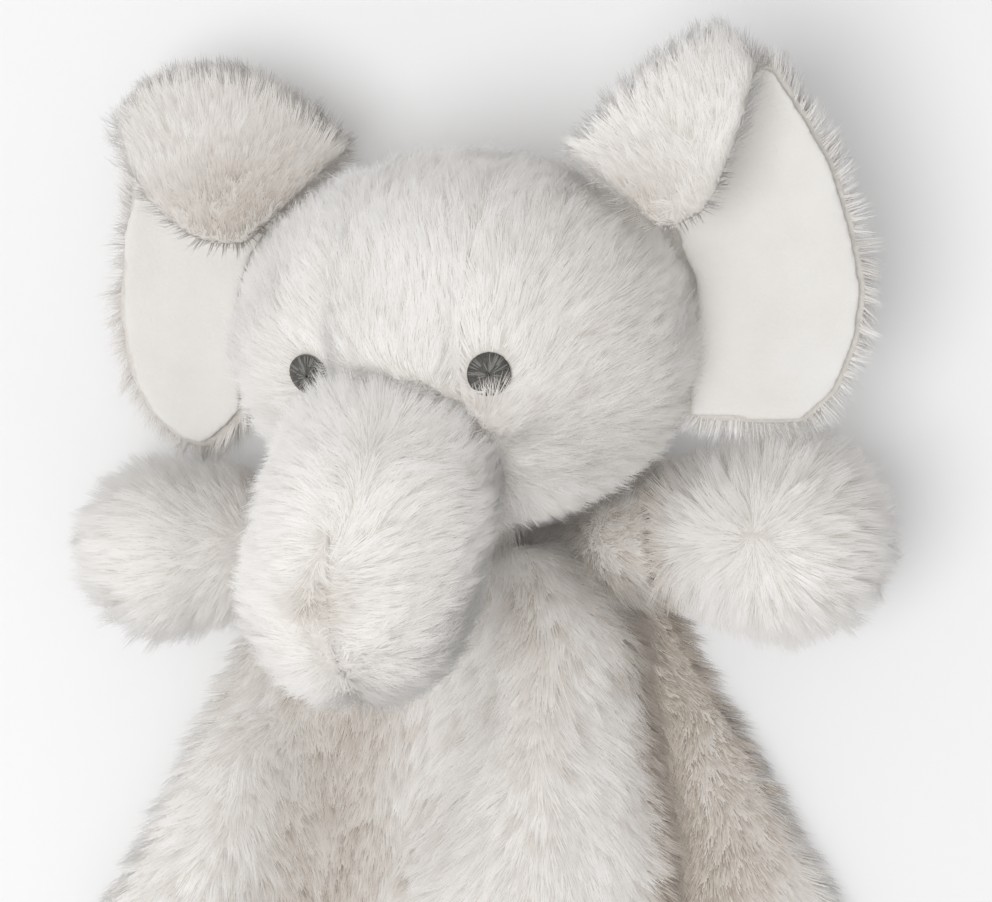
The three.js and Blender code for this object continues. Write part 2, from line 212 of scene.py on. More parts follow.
def merged_copy(name, *nodes):
    """A new object with the faces of CAD nodes, joined into one mesh with its corners merged."""
    copies = []
    for cad_node in nodes:
        copy = bpy.data.objects.new(name, frame["nodes"][cad_node].data.copy())
        copy.data.materials.clear()
        scene.collection.objects.link(copy)
        copies.append(copy)
    select_only(copies[0])
    for copy in copies[1:]:
        copy.select_set(True)
    if len(copies) > 1:
        bpy.ops.object.join()
    piece = bpy.context.object
    piece.name = name
    bpy.ops.object.mode_set(mode="EDIT")
    bpy.ops.mesh.select_all(action="SELECT")
    bpy.ops.mesh.remove_doubles(threshold=1e-5)
    bpy.ops.object.mode_set(mode="OBJECT")
    return piece


def finish_with(piece, kind, **settings):
    """Adds a modifier to a piece and applies it."""
    select_only(piece)
    modifier = piece.modifiers.new(kind.title(), kind)
    for name, value in settings.items():
        setattr(modifier, name, value)
    bpy.ops.object.modifier_apply(modifier=modifier.name)


def remeshed(piece, size, smoothing=6):
    finish_with(piece, "REMESH", mode="VOXEL", voxel_size=size, use_smooth_shade=True)
    finish_with(piece, "SMOOTH", factor=0.5, iterations=smoothing)
    return piece


def wander(points, size, seed):
    """A smooth random vector at each point, which changes over about that size."""
    rng = np.random.default_rng(seed)
    total = np.zeros_like(points)
    for _ in range(5):
        waves = rng.normal(size=(3, 3)) / size
        total += np.sin(points @ waves + rng.uniform(0, 2 * math.pi, 3))
    return total / 2.2


def stuffed(piece, most, still=()):
    """Blows a closed cover up with cloth pressure. No point moves further than most, and the points in
    the balls of still, each a centre and a radius, stay where they are."""
    before = points_of(piece.data)
    select_only(piece)
    cloth = piece.modifiers.new("Stuffing", "CLOTH")
    cloth.settings.use_pressure = True
    cloth.settings.uniform_pressure_force = 12
    cloth.settings.mass = 0.001
    cloth.settings.effector_weights.gravity = 0
    cloth.point_cache.frame_start, cloth.point_cache.frame_end = 1, 20
    for step in range(1, 21):
        scene.frame_set(step)
    blown = piece.evaluated_get(bpy.context.evaluated_depsgraph_get())
    move = points_of(blown.data) - before
    piece.modifiers.remove(cloth)
    scene.frame_set(1)
    length = np.linalg.norm(move, axis=1, keepdims=True)
    free = np.ones(len(before))
    for centre, radius in still:
        away = np.linalg.norm(before - centre, axis=1)
        free *= np.clip((away - radius) / 0.006, 0, 1)
    move *= np.minimum(1, most / np.maximum(length, 1e-9)) * free[:, None]
    put_points(piece.data, before + move)
    return piece


def sewn_in(piece, point, normal, depth=0.0013, reach=0.0024):
    """Draws the surface in along the seam that lies in a plane."""
    points, normals = points_of(piece.data), points_of(piece.data, "normal")
    off = (points - point) @ normal
    put_points(piece.data, points - normals * (depth * np.exp(-((off / reach) ** 2)))[:, None])


def panel_of(cover, name, cuts):
    """The part of a closed cover on the far side of each cut, a plane's point and normal, still open."""
    panel = bpy.data.objects.new(name, cover.data.copy())
    scene.collection.objects.link(panel)
    for point, normal in cuts:
        select_only(panel)
        bpy.ops.object.mode_set(mode="EDIT")
        bpy.ops.mesh.select_all(action="SELECT")
        bpy.ops.mesh.bisect(plane_co=tuple(point), plane_no=tuple(normal), clear_inner=True)
        bpy.ops.object.mode_set(mode="OBJECT")
    return panel


def backed(panel, thickness=0.0012):
    """Gives an open panel its fabric's thickness, inwards."""
    finish_with(panel, "SOLIDIFY", thickness=thickness, offset=-1.0, use_even_offset=False)
    panel.data.materials.clear()
    panel.data.materials.append(knit_backing)
    panel.data.polygons.foreach_set("use_smooth", [True] * len(panel.data.polygons))
    return panel


def spikes(lines, outward, radii):
    """Points, corners, normals and places along for fibres with the given points, one line of points
    for each step from root to tip. Each fibre is a slim closed spike with three sides."""
    steps, count = len(lines) - 1, lines.shape[1]
    lit_from = outward + np.array([0, 0, 0.9]) * np.clip(0.5 - outward[:, 2:], 0, 1.5)
    corners_of_ring = np.radians([90.0, 210.0, 330.0])
    points, normals, along = [], [], []
    for step in range(steps):
        way = units(lines[step + 1] - lines[step])
        side = units(np.cross(way, outward))
        under = np.cross(way, side)
        for number, angle in enumerate(corners_of_ring):
            ring = side * math.cos(angle) * radii[step] + under * math.sin(angle) * radii[step] * 0.55
            points.append(lines[step] + ring)
            normals.append(units(lit_from + units(ring) * 0.22))
            along.append(np.full(count, step / steps + 0.012 * number))
    points.append(lines[steps])
    normals.append(units(lit_from))
    along.append(np.ones(count))
    size = 3 * steps + 1
    faces = [(2, 1, 0)]
    for step in range(steps - 1):
        base = 3 * step
        faces += [(base + j, base + (j + 1) % 3, base + 3 + (j + 1) % 3, base + 3 + j) for j in range(3)]
    top = 3 * (steps - 1)
    faces += [(top + j, top + (j + 1) % 3, size - 1) for j in range(3)]
    pattern = np.concatenate([np.array(face) for face in faces])
    sizes = np.array([len(face) for face in faces])
    offsets = np.arange(count)[:, None] * size
    return (
        np.stack(points, 1).reshape(-1, 3),
        np.stack(normals, 1).reshape(-1, 3),
        np.stack(along, 1).reshape(-1),
        (offsets + pattern[None, :]).reshape(-1),
        np.tile(sizes, count),
        size,
    )


def fixed_to(piece, body, bend):
    """Puts a piece on a body. Given bend, a start and an end where it would bend out of the head it is sewn
    to, it only has its place baked into its points and is put on no body.
    """
    if bend:
        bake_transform(piece)
    else:
        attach(piece, body)


fibre_radius, bend_radius, bent_share = 0.00014, 0.00011, 0.14
root_depth, off_table = 0.0006, 0.0004
flattest = math.radians(84)
taupe_range = (0.005, 0.985)


def pile(
    name, panel, body, density, length, lean, flow, tone, room=None, seed=1,
    mottle=0.07, tuft=16, spread=0.28, bunch=0.28, bend=None,
):
    """Fur on a panel. density is in fibres for each square millimetre, length in metres and lean in
    degrees from upright. flow gives the combing direction at points with normals, tone how taupe the
    tuft is, with painted shade included in some places, and room a share from 0, bare, to 1."""
    rng = np.random.default_rng(seed)
    panel.data.calc_loop_triangles()
    corners = np.empty(len(panel.data.loop_triangles) * 3, np.int32)
    panel.data.loop_triangles.foreach_get("vertices", corners)
    corners = corners.reshape(-1, 3)
    points, normals = points_of(panel.data)[corners], points_of(panel.data, "normal")[corners]
    middles, facing = points.mean(1), units(normals.mean(1))
    area = np.linalg.norm(np.cross(points[:, 1] - points[:, 0], points[:, 2] - points[:, 0]), axis=1) / 2
    share = area * (room(middles, facing) if room else 1.0)
    count = int(share.sum() * 1e6 * density * (1.0))
    picked = rng.choice(len(area), count, p=share / share.sum())
    first, second = np.sqrt(rng.random(count)), rng.random(count)
    weights = np.stack([1 - first, first * (1 - second), first * second], 1)[:, :, None]
    roots = (points[picked] * weights).sum(1)
    up = units((normals[picked] * weights).sum(1))

    hubs = rng.choice(count, max(1, count // tuft), replace=False)
    tree = kdtree.KDTree(len(hubs))
    for number, hub in enumerate(hubs):
        tree.insert(roots[hub], number)
    tree.balance()
    mine = np.array([tree.find(root)[1] for root in roots])

    def varied(by_tuft, by_fibre):
        """How much each fibre differs from the rest: a share it has from its tuft, and its own."""
        return by_tuft * rng.normal(size=len(hubs))[mine] + by_fibre * rng.normal(size=count)

    comb = flow(roots, up) + spread * wander(roots, 0.009, seed + 1)
    comb = comb + 0.3 * spread * wander(roots, 0.003, seed + 2)
    comb = units(comb) + 0.12 * rng.normal(size=(len(hubs), 3))[mine] + 0.09 * rng.normal(size=(count, 3))
    comb = units(comb - up * dots(comb, up))
    tilt = (lean(roots) if callable(lean) else lean) * np.ones(count)
    tilt = np.radians(tilt * np.clip(1 + varied(0.10, 0.1), 0.4, 1.35))
    tilt = np.clip(tilt, 0.0, flattest)[:, None]
    reach = length * np.clip(0.86 + varied(0.10, 0.12), 0.45, 1.2)[:, None]
    start = roots - up * root_depth
    low, high = tilt * 0.62, np.minimum(tilt * 1.22, math.radians(88))
    middle = start + reach * 0.45 * (np.cos(low) * up + np.sin(low) * comb)
    end = middle + reach * 0.55 * (np.cos(high) * up + np.sin(high) * comb)
    gather = bunch * (0.5 + 0.8 * rng.random(len(hubs)))[mine][:, None]
    end = end + (end[hubs][mine] - end) * gather
    middle = middle + (middle[hubs][mine] - middle) * gather * 0.4
    for line in (start, middle, end):
        line[:, 2] = np.maximum(line[:, 2], off_table)

    # The taupe share holds the fur's own taupe and, on some panels, painted shade
    taupe_share = np.clip(tone(roots, up) + mottle * varied(1, 0.5), *taupe_range)
    taupe_share[0], taupe_share[-1] = taupe_range
    bent = rng.random(count) < bent_share
    parts = [
        spikes(np.stack([start, middle, end])[:, bent], up[bent], (fibre_radius, bend_radius)),
        spikes(np.stack([start, end])[:, ~bent], up[~bent], (fibre_radius,)),
    ]
    sizes = [parts[0][5], parts[1][5]]
    shade = np.concatenate([np.repeat(taupe_share[bent], sizes[0]), np.repeat(taupe_share[~bent], sizes[1])])
    all_points = np.concatenate([part[0] for part in parts])
    all_normals = np.concatenate([part[1] for part in parts])
    along = np.concatenate([part[2] for part in parts])
    loops = np.concatenate([parts[0][3], parts[1][3] + len(parts[0][0])])
    totals = np.concatenate([part[4] for part in parts])
    mesh = bpy.data.meshes.new(name)
    mesh.vertices.add(len(all_points))
    mesh.vertices.foreach_set("co", all_points.astype(np.float32).ravel())
    mesh.loops.add(len(loops))
    mesh.loops.foreach_set("vertex_index", loops.astype(np.int32))
    mesh.polygons.add(len(totals))
    mesh.polygons.foreach_set("loop_start", (np.cumsum(totals) - totals).astype(np.int32))
    mesh.update(calc_edges=True)
    mesh.polygons.foreach_set("use_smooth", np.ones(len(totals), bool))
    across = np.tile(np.array([0.0, 0.004, 0.008]), len(all_points) // 3 + 1)[: len(all_points)]
    uv = np.stack([np.clip(shade + across * 0.5, 0, 1), along], 1)[loops]
    mesh.uv_layers.new(name="OFBake").uv.foreach_set("vector", uv.astype(np.float32).ravel())
    mesh.normals_split_custom_set_from_vertices(all_normals.astype(np.float32))
    mesh.materials.append(tipped_pile)
    made = bpy.data.objects.new(name, mesh)
    scene.collection.objects.link(made)
    fixed_to(made, body, bend)
    return made


def outside(*balls):
    """room() for a panel with sockets: bare inside each ball, a centre and a radius."""
    def share(points, normals):
        free = np.ones(len(points))
        for centre, radius in balls:
            free *= np.linalg.norm(points - centre, axis=1) > radius
        return free
    return share


head_sideways = np.array([math.cos(math.radians(21)), 0, math.sin(math.radians(21))])
head_centre = np.array([0.0, 0.0835, 0.0538])
gusset_half = 0.018
trunk_root, neck_at = joint_at["trunk_sway"], joint_at["head_turn"]
head_sockets = [(trunk_root, 0.0272), (neck_at, 0.0157)]
head_cover = merged_copy("head_cover", "head_gusset", "head_side_left", "head_side_right", "head_filling")
remeshed(head_cover, 0.0025)
stuffed(head_cover, 0.0016, head_sockets)
points = points_of(head_cover.data)
above = points - trunk_root
lip = np.exp(-(np.maximum(np.linalg.norm(above, axis=1) - 0.0272, 0) / 0.0110) ** 2)
lip *= np.clip((above[:, 1] - 0.004) / 0.010, 0, 1) * np.clip((points[:, 2] - 0.092) / 0.008, 0, 1)
eyes = {side: np.mean(points_of(frame["nodes"]["eye_" + side].data), axis=0) for side in ("left", "right")}
for eye_at in eyes.values():
    lip *= 1 - np.exp(-((np.linalg.norm(points - eye_at, axis=1) / 0.011) ** 2))
put_points(head_cover.data, points + lip[:, None] * np.array([0.0, -0.0025, 0.0062]))
seam_left, seam_right = [head_centre + side * gusset_half * head_sideways for side in (1, -1)]
for seam in (seam_left, seam_right):
    sewn_in(head_cover, seam, head_sideways)
eye_faces = {}
cover_points, cover_normals = points_of(head_cover.data), points_of(head_cover.data, "normal")
for side, eye_at in eyes.items():
    under = np.linalg.norm(cover_points - eye_at, axis=1) < 0.0062
    eye_faces[side] = units(cover_normals[under].mean(0))
    eyes[side] = cover_points[under].mean(0) + 0.0004 * eye_faces[side]
whorl = np.array([-0.008, 0.033, 0.095])


def head_flow(points, normals):
    """The pile is combed out from under the trunk, back over the whole head, and parts round the eyes."""
    comb = units(points - whorl)
    for eye_at in eyes.values():
        away = points - eye_at
        close = np.exp(-((np.linalg.norm(away, axis=1, keepdims=True) / 0.0080) ** 2))
        comb = comb + 1.3 * close * units(away)
    return comb


def near(points, centre, radius):
    """1 at a centre, falling away over a radius."""
    return np.exp(-((np.linalg.norm(points - np.array(centre), axis=1) / radius) ** 2))


def head_tone(points, normals):
    """Almost white, a little deeper below its left eye, and deeper towards the toy's left cheek, which is
    painted shade on the side away from the light.
    """
    shade = 0.06 + 0.07 * wander(points, 0.010, 5)[:, 0]
    # Painted shade: the toy's left side of the head, away from the light, is made more taupe
    shade += 0.18 * np.clip((points[:, 0] + 0.01) / 0.05, 0, 1)
    return shade + 0.42 * near(points, (-0.001, 0.063, 0.103), 0.009)


def head_room(points, normals):
    free = outside((trunk_root, 0.0240), (neck_at, 0.0157))(points, normals)
    for eye_at in eyes.values():
        free *= np.linalg.norm(points - eye_at, axis=1) > 0.0052
    return free * np.where(points[:, 2] > 0.045, 1.0, 0.42)


head_cuts = {
    "head_gusset": [(seam_right, head_sideways), (seam_left, -head_sideways)],
    "head_side_left": [(seam_left, head_sideways)],
    "head_side_right": [(seam_right, -head_sideways)],
}
for seed, (name, cuts) in enumerate(head_cuts.items()):
    panel = panel_of(head_cover, name + "_panel", cuts)
    pile(name + "_pile", panel, "head", 3.6, 0.0098, 62, head_flow, head_tone, head_room, 10 + seed)
    backed(panel)
    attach(panel, "head")
    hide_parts(name)
bpy.data.objects.remove(head_cover)


# ---- Trunk
# Two panels of the same plush, sewn along the middle of the trunk and stuffed. The pile parts along
# that seam.

trunk_cover = merged_copy("trunk_cover", "trunk_left", "trunk_right", "trunk_filling")
remeshed(trunk_cover, 0.0022)
stuffed(trunk_cover, 0.0014, [(trunk_root, 0.020)])
trunk_bend = np.array([-0.0225, 0.038, 0.0985])
sewn_in(trunk_cover, trunk_bend, head_sideways, 0.0010)
trunk_axis = units(np.array([-0.007, -0.0295, 0.011]))


def off_parting(points):
    """How far each point is from the parting, which curves across the seam."""
    y = points[:, 1]
    curve = -0.004 + 0.0087 * np.clip((y - 0.022) / 0.022, 0, 1.3)
    curve = curve + 0.0024 * np.clip((0.022 - y) / 0.020, 0, 1)
    return (points - trunk_bend) @ head_sideways - curve


def trunk_flow(points, normals):
    """Up over the face at the root, and away from the parting on both sides, upwards on the left side."""
    side = np.tanh(off_parting(points) / 0.008)[:, None]
    along = ((points - trunk_root) @ trunk_axis)[:, None]
    upwards = np.clip(0.7 - along / 0.014, 0.08, 3.0) + 0.45 * np.clip(side, 0, 1)
    return side * head_sideways - trunk_axis * upwards


def trunk_tone(points, normals):
    """Almost white, with a taupe streak down the parting, and painted shade on the toy's left side of it,
    away from the light.
    """
    off = off_parting(points)
    streak = np.exp(-((off / 0.0035) ** 2)) * (0.6 + 0.4 * wander(points, 0.012, 25)[:, 0])
    # The share rising past the parting to the toy's left side is painted shade, on the side away from the
    # light
    shade = 0.02 + 0.30 * streak + 0.16 * np.clip(off / 0.02, 0, 1)
    return shade + 0.40 * near(points, (-0.036, 0.018, 0.126), 0.007)


def trunk_lean(points):
    """Up on end at the root, so the pile laps over the face, and lying flatter from there to the tip."""
    along = (points - trunk_root) @ trunk_axis
    return 60 - 30 * np.clip(-(along + 0.002) / 0.010, 0, 1)


for seed, (name, side) in enumerate((("trunk_left", 1), ("trunk_right", -1))):
    panel = panel_of(trunk_cover, name + "_panel", [(trunk_bend, side * head_sideways)])
    room = outside((trunk_root, 0.0205))
    pile(name + "_pile", panel, "trunk", 4.2, 0.0092, trunk_lean, trunk_flow, trunk_tone, room, 20 + seed)
    backed(panel)
    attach(panel, "trunk")
    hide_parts(name)
bpy.data.objects.remove(trunk_cover)


# ---- Ears
# Each ear is a leaf of plush with a leaf of short velour inside it, sewn round the edge and turned.
# The upper part is folded forward as a flap, so the pile is on top and the velour looks out below.

velour, shader = plain_material("velour", (0.85, 0.83, 0.8), 0.9)
shader.inputs["Sheen Weight"].default_value = 0.35
shader.inputs["Sheen Roughness"].default_value = 0.4
place = node(velour, "ShaderNodeTexCoord")
nap = node(velour, "ShaderNodeTexNoise", Vector=place.outputs["Object"], Scale=900.0, Detail=4.0)
brushed = node(velour, "ShaderNodeTexNoise", Vector=place.outputs["Object"], Scale=70.0, Detail=3.0)
velour.node_tree.links.new(
    colour_mix(velour, brushed.outputs["Fac"], (0.77, 0.745, 0.71), (0.865, 0.85, 0.825)),
    shader.inputs["Base Color"],
)
nap_bump = node(velour, "ShaderNodeBump", Height=nap.outputs["Fac"], Strength=0.5, Distance=0.0004)
velour.node_tree.links.new(nap_bump.outputs[0], shader.inputs["Normal"])

ear_middles = {"left": np.array([0.078, 0.108, 0.062]), "right": np.array([-0.072, 0.102, 0.022])}
for seed, side in enumerate(("left", "right")):
    leaf = remeshed(merged_copy("ear_outer_" + side + "_leaf", "ear_outer_" + side), 0.0014, 14)
    lining = remeshed(merged_copy("ear_lining_" + side + "_leaf", "ear_lining_" + side), 0.0011, 24)
    flap_z = joint_at["ear_" + side + "_flap"][2]
    for piece, inset in ((leaf, 0.0), (lining, 0.05)):
        points = points_of(piece.data)
        below = np.clip(1 - (points[:, 2:] - flap_z - 0.001) / 0.007, 0, 1)
        off = (points - ear_middles[side]) * np.array([1.0, 0.4, 0.0])
        points -= inset * below * off
        points[:, 1] -= 0.2 * np.maximum(points[:, 1] - 0.130, 0) * (1.0 if side == "left" else 0.5)
        dome = np.clip(1 - np.sum((off / np.array([0.024, 0.014, 1.0])) ** 2, axis=1, keepdims=True), 0, 1)
        points[:, 2:] += below * (0.0022 * dome + 0.0005 * wander(points, 0.014, 35)[:, :1])
        if side == "left":
            points[:, 1] -= 0.16 * np.maximum(0.085 - points[:, 1], 0) * below[:, 0]
            inner = np.clip((0.072 - points[:, 0]) / 0.010, 0, 1)
            inner *= np.clip((0.118 - points[:, 1]) / 0.010, 0, 1)
            points[:, 0] -= 0.0045 * inner * below[:, 0]
        put_points(piece.data, points)
    outwards = np.array([1.0 if side == "left" else -1.0, 0, 0])
    ear_bends = (joint_at["ear_" + side + "_flap"], joint_at["ear_" + side + "_flap"] + 0.012 * outwards)
    lining_faces = BVHTree.FromPolygons(
        [v.co.copy() for v in lining.data.vertices], [tuple(p.vertices) for p in lining.data.polygons]
    )

    def leaf_flow(points, normals, root=joint_at["ear_" + side + "_flap"], middle=ear_middles[side]):
        """From the root to the tip, and out over the rim."""
        return 0.7 * units(points - root) + units(points - middle)

    def leaf_room(points, normals, lining_faces=lining_faces):
        """Pile only on the side away from the lining, and round the rim."""
        off_lining = np.array([lining_faces.find_nearest(Vector(p))[3] > 0.0016 for p in points], float)
        return off_lining * np.where(normals[:, 2] < -0.3, 0.6, 1.0)

    def leaf_tone(points, normals, side=side):
        if side == "left":
            taupe_share = 0.08 + 0.45 * near(points, (0.048, 0.113, 0.085), 0.010)
        else:
            taupe_share = 0.25 + 0.62 * near(points, (-0.060, 0.117, 0.038), 0.021)
        return taupe_share + 0.10 * wander(points, 0.012, 31)[:, 1]

    pile("ear_outer_" + side + "_pile", leaf, "ear_" + side, 3.2, 0.0082, 62, leaf_flow, leaf_tone,
         leaf_room, 30 + seed, bend=ear_bends)
    leaf.data.materials.append(knit_backing)
    fixed_to(leaf, "ear_" + side, ear_bends)
    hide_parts("ear_outer_" + side)
    lining.data.materials.append(velour)
    fixed_to(lining, "ear_" + side, ear_bends)
    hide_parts("ear_lining_" + side)


# ---- Blanket
# The body is an empty blanket: a fan of plush over a fan of velour, sewn round the edge. Three folds run
# down from the gathered neck, and the pile opens to its taupe roots in the valleys between them. Painted
# shade darkens the crease beside the middle fold and a patch under the chin.

blanket_front = remeshed(merged_copy("blanket_front_sheet", "blanket_front"), 0.0024, 4)
bpy.ops.object.mode_set(mode="EDIT")
bpy.ops.mesh.select_all(action="DESELECT")
bpy.ops.object.mode_set(mode="OBJECT")
for face in blanket_front.data.polygons:
    face.select = face.normal.z < -0.2 or face.center.z < 0.0044
bpy.ops.object.mode_set(mode="EDIT")
bpy.ops.mesh.delete(type="FACE")
bpy.ops.object.mode_set(mode="OBJECT")
sheet_points, sheet_normals = points_of(blanket_front.data), points_of(blanket_front.data, "normal")
lift = 0.0010 * wander(sheet_points * np.array([1.0, 0.6, 0.3]), 0.011, 41)[:, :1]
lift *= np.clip((sheet_points[:, 2:] - 0.005) / 0.004, 0, 1)
sheet_points += sheet_normals * lift
down_from_neck = 0.015 - sheet_points[:, 1]
valley_x = 0.0383 + 0.134 * down_from_neck
full = np.clip((0.150 - down_from_neck) / 0.06, 0, 1) * np.clip((down_from_neck + 0.012) / 0.02, 0, 1)
flank = np.exp(-(((sheet_points[:, 0] - valley_x + 0.006) / 0.011) ** 2)) * full
valley = np.exp(-(((sheet_points[:, 0] - valley_x - 0.006) / 0.007) ** 2)) * full
sheet_points[:, 2] -= 0.007 * valley * np.clip((sheet_points[:, 2] - 0.010) / 0.006, 0, 1)
sheet_points[:, 0] += 0.009 * flank
sheet_points[sheet_points[:, 2] < 0.0060, 2] = 0.0034


def hem_wave(points):
    """The soft edge wanders a little from a straight line, more towards the hem."""
    loose = np.clip((0.010 - points[:, 1:2]) / 0.10, 0, 1) * np.array([1.0, 1.0, 0.0])
    return points + 0.0022 * loose * wander(points * np.array([1.0, 1.0, 0.0]), 0.030, 47)


put_points(blanket_front.data, hem_wave(sheet_points))

neck_ball = (neck_at, 0.0158)
shoulders = [(joint_at["arm_" + side + "_swing"], 0.0152) for side in ("left", "right")]


def blanket_flow(points, normals):
    """Down to the hem and outwards from the neck, and down the flanks of each fold."""
    down = units(points - np.array([0.0, 0.10, 0.02]))
    return down + 0.8 * normals * np.array([1.0, 0.3, 0.0])


def blanket_tone(points, normals):
    """White on the folds. The pile opens to taupe in the valleys on both sides of the middle fold. The crease
    beside the middle fold is darker, partly taupe roots and partly painted shade, and a patch under the chin
    is painted shade.
    """
    x, down = points[:, 0], 0.015 - points[:, 1]
    valley_x = 0.0383 + 0.134 * down
    # The crease beside the middle fold: partly its parted taupe roots, partly painted shade under the
    # overhanging ridge
    crease_taupe_and_shade = 0.95 * np.exp(-(((x - valley_x - 0.008) / 0.009) ** 2))
    right_panel = 0.62 * np.exp(-(((x - valley_x - 0.024) / 0.020) ** 2)) * (x > valley_x + 0.004)
    left_panel = 0.62 * np.exp(-(((x + 0.030 + 0.10 * down) / 0.024) ** 2))
    ridge_side = 0.24 * np.exp(-(((x - 0.022) / 0.012) ** 2))
    fade = np.clip((0.170 - down) / 0.08, 0.35, 1)
    # Painted shade on the blanket under the head's chin
    chin_shade = 0.30 * near(points, (0.010, 0.016, 0.045), 0.014)
    folds = fade * (crease_taupe_and_shade + right_panel + left_panel + ridge_side + chin_shade)
    return 0.10 + folds + 0.10 * wander(points, 0.012, 43)[:, 2]


strips = (
    ("left", 0.045, 1.0),
    ("middle_left", 0.0, 0.045),
    ("middle_right", -0.045, 0.0),
    ("right", -1.0, -0.045),
)
for seed, (name, from_x, to_x) in enumerate(strips):
    def strip_room(points, normals, from_x=from_x, to_x=to_x):
        share = outside(neck_ball, *shoulders)(points, normals)
        share *= (points[:, 0] > from_x) & (points[:, 0] <= to_x)
        share *= np.where(points[:, 1] > -0.075, 1.0, 0.75)
        return share * np.where(points[:, 2] < 0.0075, 1.6, 1.0)

    pile("blanket_front_pile_" + name, blanket_front, "blanket", 2.7, 0.0098, 54, blanket_flow,
             blanket_tone, strip_room, 40 + seed, mottle=0.12)
backed(blanket_front)
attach(blanket_front, "blanket")
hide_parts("blanket_front")

blanket_back = merged_copy("blanket_back_sheet", "blanket_back")
remeshed(blanket_back, 0.0024, 4)
put_points(blanket_back.data, hem_wave(points_of(blanket_back.data)))
blanket_back.data.materials.append(velour)
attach(blanket_back, "blanket")
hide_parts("blanket_back")


# ---- Neck
# The blanket's top is gathered round the stuffed core and drawn tight by a strong thread.

collar = remeshed(merged_copy("neck_collar_gather", "neck_collar"), 0.0012, 3)


def collar_flow(points, normals):
    return np.array([0, -1.0, 0.2]) + 0 * points


def collar_tone(points, normals):
    return np.full(len(points), 0.5)


def collar_room(points, normals):
    """Pile only on the side away from the neck's core."""
    return (dots(normals, units(points - neck_at))[:, 0] > 0.5).astype(float)


pile("neck_collar_pile", collar, "blanket", 3.2, 0.0110, 40, collar_flow, collar_tone, collar_room, 50)
collar.data.materials.append(knit_backing)
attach(collar, "blanket")
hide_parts("neck_collar")


# ---- Arms
# Short stuffed arms in two parts: a sleeve sewn to the blanket's edge, and a round paw of two panels
# that turns in the sleeve's cuff.

for seed, side in enumerate(("left", "right")):
    shoulder = joint_at["arm_" + side + "_swing"]
    wrist = joint_at["paw_" + side + "_raise"]
    axis = units(wrist - shoulder)
    sleeve = remeshed(merged_copy("arm_sleeve_" + side + "_tube", "arm_sleeve_" + side), 0.0014, 3)

    def sleeve_room(points, normals, shoulder=shoulder, axis=axis, wrist=wrist, side=side):
        off = points - shoulder
        radial = units(off - axis * dots(off, axis))
        outer = dots(normals, radial)[:, 0] > 0.25
        return outer * (np.linalg.norm(points - wrist, axis=1) > (0.0162 if side == "left" else 0.0157))

    def sleeve_flow(points, normals, axis=axis):
        """Along the arm, and a little to the hem."""
        return axis + np.array([0, -0.35, 0]) + 0 * points

    def sleeve_tone(points, normals):
        return 0.62 + 0.1 * wander(points, 0.01, 51)[:, 0]

    pile("arm_sleeve_" + side + "_pile", sleeve, "arm_" + side, 3.2, 0.0100, 46, sleeve_flow, sleeve_tone,
         sleeve_room, 60 + seed, mottle=0.12)
    sleeve.data.materials.append(knit_backing)
    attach(sleeve, "arm_" + side)
    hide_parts("arm_sleeve_" + side)

paw_middles = {"left": np.array([0.0835, 0.0325, 0.039]), "right": np.array([-0.079, 0.029, 0.027])}
wrist_radii = {"left": 0.017, "right": 0.0165}
for seed, side in enumerate(("left", "right")):
    wrist, middle = joint_at["paw_" + side + "_raise"], paw_middles[side]
    axis = units(middle - wrist)
    upright = units(np.array([0, 0, 1.0]) - axis * axis[2])
    cover = merged_copy("paw_cover", *[f"paw_{part}_{side}" for part in ("front", "back", "filling")])
    remeshed(cover, 0.0020)
    stuffed(cover, 0.0012, [(wrist, wrist_radii[side])])
    sewn_in(cover, wrist, upright, 0.0010)
    if side == "left":
        whorl_at = middle + 0.030 * upright
    else:
        whorl_at = middle + 0.006 * upright + np.array([0.020, 0, 0])

    def paw_flow(points, normals, whorl_at=whorl_at, axis=axis):
        return units(points - whorl_at) + 0.25 * axis

    def paw_tone(points, normals, middle=middle, axis=axis, side=side):
        inward = -((points - middle) @ axis)
        return 0.04 + 0.58 * np.clip((inward - 0.012) / 0.015, 0, 1) + 0.08 * wander(points, 0.010, 63)[:, 0]

    for part, facing in (("front", 1), ("back", -1)):
        name = f"paw_{part}_{side}"
        panel = panel_of(cover, name + "_panel", [(wrist, facing * upright)])

        def paw_room(points, normals, wrist=wrist, axis=axis, side=side):
            return ((points - wrist) @ axis > -0.006) * (dots(normals, axis)[:, 0] > -0.9)

        pile(name + "_pile", panel, "paw_" + side, 3.4 if part == "front" else 2.4, 0.0105, 48, paw_flow,
             paw_tone, paw_room, 70 + 2 * seed + (part == "back"), bunch=0.42, tuft=22)
        backed(panel)
        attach(panel, "paw_" + side)
        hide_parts(name)
    bpy.data.objects.remove(cover)


# ---- Filling
# Loose white fibre filling inside the head, trunk, arms and paws, seen only where a seam opens.

wadding, shader = plain_material("wadding", (0.9, 0.9, 0.88), 1.0)
place = node(wadding, "ShaderNodeTexCoord")
fluff = node(wadding, "ShaderNodeTexNoise", Vector=place.outputs["Object"], Scale=260.0, Detail=6.0)
wadding.node_tree.links.new(
    colour_mix(wadding, fluff.outputs["Fac"], (0.80, 0.79, 0.77), (0.95, 0.95, 0.94)),
    shader.inputs["Base Color"],
)
fluff_bump = node(wadding, "ShaderNodeBump", Height=fluff.outputs["Fac"], Strength=0.8, Distance=0.001)
wadding.node_tree.links.new(fluff_bump.outputs[0], shader.inputs["Normal"])
for name, cad_node in frame["nodes"].items():
    if not cad_node.hide_render:
        cad_node.data.materials.clear()
        cad_node.data.materials.append(wadding)


